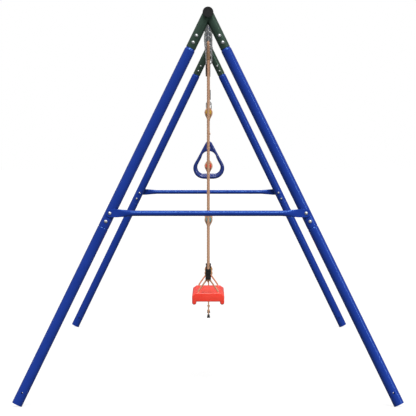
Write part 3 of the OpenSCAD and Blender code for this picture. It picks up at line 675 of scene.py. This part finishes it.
def moulded(name, dark, pale, roughness=(0.28, 0.40)):
    """Coloured plastic, slightly waxy, with a mould grain drawn 2 mm wide and faint flow marks."""
    material, shader = new_material(name, IOR=1.5, Subsurface_Weight=0.04,
                                    Subsurface_Scale=0.004)
    place = add(material, "ShaderNodeTexCoord", {})
    flow = add(material, "ShaderNodeTexNoise", {"Vector": place.outputs["Object"],
               "Scale": 14.0, "Detail": 3.0})
    grain = add(material, "ShaderNodeTexNoise", {"Vector": place.outputs["Object"],
                "Scale": 500.0, "Detail": 2.0})
    colour = add(material, "ShaderNodeMix", {"Factor": flow.outputs["Fac"], 6: linear(dark),
                 7: linear(pale)}, data_type="RGBA")
    shine = add(material, "ShaderNodeMapRange", {"Value": flow.outputs["Fac"],
                "To Min": roughness[0], "To Max": roughness[1]})
    bump = add(material, "ShaderNodeBump", {"Height": grain.outputs["Fac"], "Strength": 0.15,
               "Distance": 0.0003})
    join_sockets(material, shader, Base_Color=colour.outputs[2], Roughness=shine.outputs[0],
                 Normal=bump.outputs[0])
    return material


seat_red = moulded("red_polyethylene", "#FA3424", "#FF5442")
SEAT_W = 0.141
SEAT_WALL = 0.0045
SEAT_EDGE_R = 0.015
SEAT_CORNER_R = 0.004
SEAT_END_H = 0.042
SEAT_DIP = 0.008
SEAT_STEPS = 28
# The long shell stops this far inside the outer faces of the two end plates
SHELL_SHORT = 0.002
END_WALL = 1.6 * SEAT_WALL
RIM_R = 0.0105
RIM_H = 0.050
RIM_IN = 0.0032
RIM_SOFT_R = 0.006
SKIRT_H = 0.022
SKIRT_SOFT_R = 0.0015
RIB_T = 0.003
RIB_H = 0.020
SPINE_H = 0.018
RIB_SOFT_R = 0.001
RIB_STEP = 0.095
RIB_DROP = 0.021
BOSS_R = 0.0095
seat_y = (seat_low.y + seat_high.y) / 2
seat_half = (seat_high.y - seat_low.y) / 2


def seat_section(inset, y):
    """The seat's outline across its length, from one lower corner over the top to the other."""
    r = SEAT_EDGE_R - inset
    flat = SEAT_W / 2 - SEAT_EDGE_R
    right = [(flat * i / 4, -inset) for i in range(4)]
    right += [(flat + r * math.sin(a), r * math.cos(a) - SEAT_EDGE_R)
              for a in (math.pi / 2 * i / 8 for i in range(9))]
    right.append((SEAT_W / 2 - inset, -SEAT_END_H))
    section = [(-x, z) for x, z in right[:0:-1]] + right
    return [Vector((x, y, seat_high.z + z)) for x, z in section]


bm = bmesh.new()
start_y = seat_low.y + SHELL_SHORT
outline = seat_section(0, start_y) + seat_section(SEAT_WALL, start_y)[::-1]
verts = [bm.verts.new(point) for point in outline]
edges = [bm.edges.new(pair) for pair in zip(verts, verts[1:] + verts[:1])]
bmesh.ops.contextual_create(bm, geom=edges)
seat_step = (2 * seat_half - 2 * SHELL_SHORT) / SEAT_STEPS
for i in range(SEAT_STEPS):
    geom = bmesh.ops.extrude_edge_only(bm, edges=edges)["geom"]
    moved = [g for g in geom if isinstance(g, bmesh.types.BMVert)]
    edges = [g for g in geom if isinstance(g, bmesh.types.BMEdge)
             and g.verts[0] in moved and g.verts[1] in moved]
    bmesh.ops.translate(bm, verts=moved, vec=(0, seat_step, 0))
bmesh.ops.contextual_create(bm, geom=edges)
for v in bm.verts:
    along = max(0, 1 - ((v.co.y - seat_y) / seat_half) ** 2)
    high = max(0, min(1, (v.co.z - seat_high.z + SEAT_END_H) / SEAT_END_H))
    v.co.z -= SEAT_DIP * along * high
for end_y, out in ((seat_low.y, 1), (seat_high.y, -1)):
    plate = bm.faces.new([bm.verts.new(point) for point in seat_section(0, end_y)])
    rim = plate.edges[:]
    back = bmesh.ops.extrude_face_region(bm, geom=[plate], use_keep_orig=True)["geom"]
    back = [g for g in back if isinstance(g, bmesh.types.BMVert)]
    bmesh.ops.translate(bm, verts=back, vec=(0, out * END_WALL, 0))
    bmesh.ops.bevel(bm, geom=rim, offset=SEAT_CORNER_R, offset_type="OFFSET", affect="EDGES",
                    segments=5, profile=0.5, material=-1)
bmesh.ops.recalc_face_normals(bm, faces=bm.faces)
shell = as_piece(bm, "seat_shell", seat_red)


def rolled_rim(name, way):
    """One rolled rim: a tall rounded lip with soft ends along the seat's long edge."""
    bm = bmesh.new()
    bmesh.ops.create_cone(bm, cap_ends=True, segments=28, radius1=RIM_R, radius2=RIM_R,
                          depth=2 * seat_half - SHELL_SHORT)
    ends = [e for e in bm.edges if abs(e.verts[0].co.z - e.verts[1].co.z) < 1e-6]
    bmesh.ops.bevel(bm, geom=ends, offset=RIM_SOFT_R, offset_type="OFFSET", affect="EDGES",
                    segments=5, profile=0.5, material=-1)
    bmesh.ops.rotate(bm, verts=bm.verts, matrix=Matrix.Rotation(math.pi / 2, 3, "X"))
    for v in bm.verts:
        v.co.z += math.copysign(RIM_H / 2 - RIM_R, v.co.z)
    x = way * (SEAT_W / 2 - RIM_IN)
    bmesh.ops.translate(bm, verts=bm.verts, vec=(x, seat_y, seat_low.z + RIM_H / 2))
    return as_piece(bm, name, seat_red)


def rounded_block(bm, centre, size, radius):
    """Adds a box with rounded edges to a bmesh."""
    cube = bmesh.ops.create_cube(bm, size=1)["verts"]
    bmesh.ops.scale(bm, verts=cube, vec=size)
    bmesh.ops.translate(bm, verts=cube, vec=centre)
    edges = list({e for v in cube for e in v.link_edges})
    bmesh.ops.bevel(bm, geom=edges, offset=radius, offset_type="OFFSET", affect="EDGES",
                    segments=3, profile=0.5, material=-1)


rims = [rolled_rim("seat_left_rim", -1), rolled_rim("seat_right_rim", 1)]

# Under the top: a skirt inside each rim, three ribs across and one spine along
bm = bmesh.new()
rib_z = seat_high.z - RIB_DROP
skirt_z = (seat_low.z + RIM_R + seat_high.z - SEAT_END_H) / 2 + 0.003
for way in (-1, 1):
    rounded_block(bm, (way * (SEAT_W / 2 - SEAT_WALL / 2), seat_y, skirt_z),
                  (SEAT_WALL, 2 * seat_half - 0.026, SKIRT_H), SKIRT_SOFT_R)
for y in (seat_y - RIB_STEP, seat_y, seat_y + RIB_STEP):
    rounded_block(bm, (0, y, rib_z), (SEAT_W - 0.008, RIB_T, RIB_H), RIB_SOFT_R)
rounded_block(bm, (0, seat_y, rib_z), (RIB_T, 2 * seat_half - 0.012, SPINE_H), RIB_SOFT_R)
ribs = as_piece(bm, "seat_ribs", seat_red)

# Each boss is turned from its outline: (radius, height over the seat's top)
hole_r = CORD_D / 2
boss_outline = [(hole_r + 0.0002, -0.012), (hole_r + 0.0002, 0.0005),
                (hole_r + 0.0014, 0.0022), (hole_r + 0.0034, 0.0024),
                (BOSS_R, 0.0006), (BOSS_R + 0.001, -0.003), (BOSS_R, -0.012)]
bm = bmesh.new()
for y in SWING_YS:
    dip = SEAT_DIP * (1 - ((y - seat_y) / seat_half) ** 2)
    for way in (-1, 1):
        centre = Vector((way * CORD_X, y, seat_high.z - dip))
        verts = [bm.verts.new(centre + Vector((r, 0, z))) for r, z in boss_outline]
        edges = [bm.edges.new(pair) for pair in zip(verts, verts[1:] + verts[:1])]
        bmesh.ops.spin(bm, geom=verts + edges, cent=centre, axis=(0, 0, 1),
                       angle=2 * math.pi, steps=28, use_merge=True)
bmesh.ops.recalc_face_normals(bm, faces=bm.faces)
bosses = as_piece(bm, "seat_bosses", seat_red)
for piece in [shell, ribs, bosses] + rims:
    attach(piece, "swing_seat")
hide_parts("seat")

# ---- ladder rungs ----
# Moulded polypropylene tubes, each with recessed end discs, a shallow seat for each rope and
# grip grooves along the middle.
RUNG_LEN = rungs[0][1].y - rungs[0][0].y
END_RECESS = 0.0015
ROPE_SEAT = 0.001
GRIPS_A_SIDE = 8
GRIP_STEP = 0.012
GRIP_DEPTH = 0.0009
GRIP_TOP = 0.0028
GRIP_FLOOR = 0.0012
RUNG_COLOURS = [("rung_yellow", "#C79C1E", "#DDB73E"), ("rung_red", "#D5311F", "#F0503E"),
                ("rung_teal", "#4C8B8E", "#74B0B0"), ("rung_yellow", "#C79C1E", "#DDB73E")]


def rung_profile():
    """(place along the rung, radius) from one end's middle to the other's."""
    half = RUNG_LEN / 2
    disc = [(half - END_RECESS, 0.0), (half - END_RECESS, RUNG_R - 0.006)]
    lip = [(half, RUNG_R - 0.005), (half, RUNG_R - 0.0025), (half - 0.0015, RUNG_R - 0.0005),
           (half - 0.004, RUNG_R)]
    seat = [(half - 0.016, RUNG_R), (half - 0.019, RUNG_R - ROPE_SEAT),
            (half - 0.031, RUNG_R - ROPE_SEAT), (half - 0.034, RUNG_R)]
    run = disc + lip + seat
    for i in range(GRIPS_A_SIDE + 1):
        at = GRIPS_A_SIDE * GRIP_STEP - i * GRIP_STEP
        run += [(at + GRIP_TOP, RUNG_R), (at + GRIP_FLOOR, RUNG_R - GRIP_DEPTH),
                (at - GRIP_FLOOR, RUNG_R - GRIP_DEPTH), (at - GRIP_TOP, RUNG_R)]
    return run + [(-y, r) for y, r in run[::-1]]


rung_finish = {}
for i, (low, high) in enumerate(rungs):
    slot_name, dark, pale = RUNG_COLOURS[i]
    if slot_name not in rung_finish:
        rung_finish[slot_name] = moulded(slot_name.replace("rung", "polypropylene"), dark, pale)
    centre = (low + high) / 2
    bm = bmesh.new()
    verts = [bm.verts.new(centre + Vector((r, y, 0))) for y, r in rung_profile()]
    edges = [bm.edges.new(pair) for pair in zip(verts, verts[1:])]
    bmesh.ops.spin(bm, geom=verts + edges, cent=centre, axis=(0, 1, 0), angle=2 * math.pi,
                   steps=48, use_merge=True)
    bmesh.ops.remove_doubles(bm, verts=bm.verts, dist=1e-5)
    bmesh.ops.recalc_face_normals(bm, faces=bm.faces)
    piece = as_piece(bm, f"rung_{i + 1}_tube", rung_finish[slot_name])
    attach(piece, "ladder")
    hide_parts(f"rung_{i + 1}")

# ---- gym rings ----
# Triangular handles in glossy blue plastic: the grip bar and sides are round, and a web with
# the rope's hole fills the top. Every inner corner has the soft fillet of a moulding.
ring_blue = moulded("glossy_blue_plastic", "#1A2B6C", "#263B86", roughness=(0.12, 0.22))
CELL = 0.0016
ROUNDS = 6
# The web's shoulders, between these heights over the grip bar's underside, are softened more
WEB_LOW = 0.110
WEB_TOP = 0.165
WEB_ROUNDS = 24


def softened(name, node, material):
    """A copy of a ring with its sharp inner corners melted into fillets."""
    bm = bmesh.new()
    bm.from_mesh(nodes[node].data)
    bmesh.ops.remove_doubles(bm, verts=bm.verts, dist=1e-6)
    piece = as_piece(bm, name, material)
    remesh = piece.modifiers.new("remesh", "REMESH")
    remesh.mode = "VOXEL"
    remesh.voxel_size = CELL
    smooth = piece.modifiers.new("smooth", "SMOOTH")
    smooth.factor = 0.5
    smooth.iterations = ROUNDS
    bpy.context.view_layer.update()
    result = bpy.data.meshes.new_from_object(piece.evaluated_get(
        bpy.context.evaluated_depsgraph_get()))
    piece.modifiers.clear()
    piece.data = result
    bm = bmesh.new()
    bm.from_mesh(result)
    shoulder = [v for v in bm.verts if WEB_LOW < v.co.z - ring_low.z < WEB_TOP]
    for _ in range(WEB_ROUNDS):
        bmesh.ops.smooth_vert(bm, verts=shoulder, factor=0.5, use_axis_x=True, use_axis_y=True,
                              use_axis_z=True)
    bm.to_mesh(result)
    bm.free()
    result.shade_smooth()
    return piece


for end in ("near", "far"):
    piece = softened(f"{end}_gym_ring", f"{end}_ring", ring_blue)
    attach(piece, f"{end}_ring_handle")
    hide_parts(f"{end}_ring")

# ---- floor and light ----
# A plain pale floor, lifted to the eye so that only a faint shadow shows on it, under a sky
# that looks white but lights the set as a dimmer dome. A broad soft sun stands over the
# viewer's shoulder, and a tall strip light at the right draws a thin line down the tubes.
FLOOR_R = 60
FLOOR_LIFT = 0.85

bm = bmesh.new()
bmesh.ops.create_circle(bm, cap_ends=True, segments=64, radius=FLOOR_R)
floor_paint, shader = new_material("pale_floor", Roughness=1.0, Specular_IOR_Level=0.0,
                                   Base_Color=linear("#707070"), Emission_Color=(1, 1, 1, 1))
seen = add(floor_paint, "ShaderNodeLightPath", {})
lift = add(floor_paint, "ShaderNodeMath", {0: seen.outputs["Is Camera Ray"], 1: FLOOR_LIFT},
           operation="MULTIPLY")
join_sockets(floor_paint, shader, Emission_Strength=lift.outputs[0])
floor = as_piece(bm, "floor", floor_paint)

studio = bpy.data.worlds.new("studio")
studio.use_nodes = True
bpy.context.scene.world = studio
sky = studio.node_tree.nodes["Background"]
direction = add(studio, "ShaderNodeTexCoord", {})
height = add(studio, "ShaderNodeSeparateXYZ", {"Vector": direction.outputs["Generated"]})
dome = add(studio, "ShaderNodeMapRange", {"Value": height.outputs["Z"], "From Min": 0.1,
           "From Max": 0.9, "To Min": 0.12, "To Max": 0.85})
seen = add(studio, "ShaderNodeLightPath", {})
glow = add(studio, "ShaderNodeMix", {"Factor": seen.outputs["Is Camera Ray"],
           "A": dome.outputs[0], "B": 1.0})
sky.inputs["Color"].default_value = (1, 1, 1, 1)
studio.node_tree.links.new(glow.outputs[0], sky.inputs["Strength"])


def shine_light(name, kind, place, aim, power, spin=0, **settings):
    """A lamp at a place, pointed at aim and turned about its own axis by spin degrees."""
    light = bpy.data.lights.new(name, kind)
    light.energy = power
    for setting, value in settings.items():
        setattr(light, setting, value)
    lamp = bpy.data.objects.new(name, light)
    lamp.location = place
    turn = (Vector(aim) - Vector(place)).to_track_quat("-Z", "Y").to_matrix()
    lamp.rotation_euler = (turn @ Matrix.Rotation(math.radians(spin), 3, "Z")).to_euler()
    bpy.context.collection.objects.link(lamp)


shine_light("soft_sun", "SUN", (0.4, -3.4, 5.6), (0, 0, 0.6), 3.0, angle=math.radians(32))
shine_light("right_strip", "AREA", (5.4, -4.4, 3.1), (0.4, -1.5, 1.0), 90, spin=25,
            shape="RECTANGLE", size=0.16, size_y=3.5)
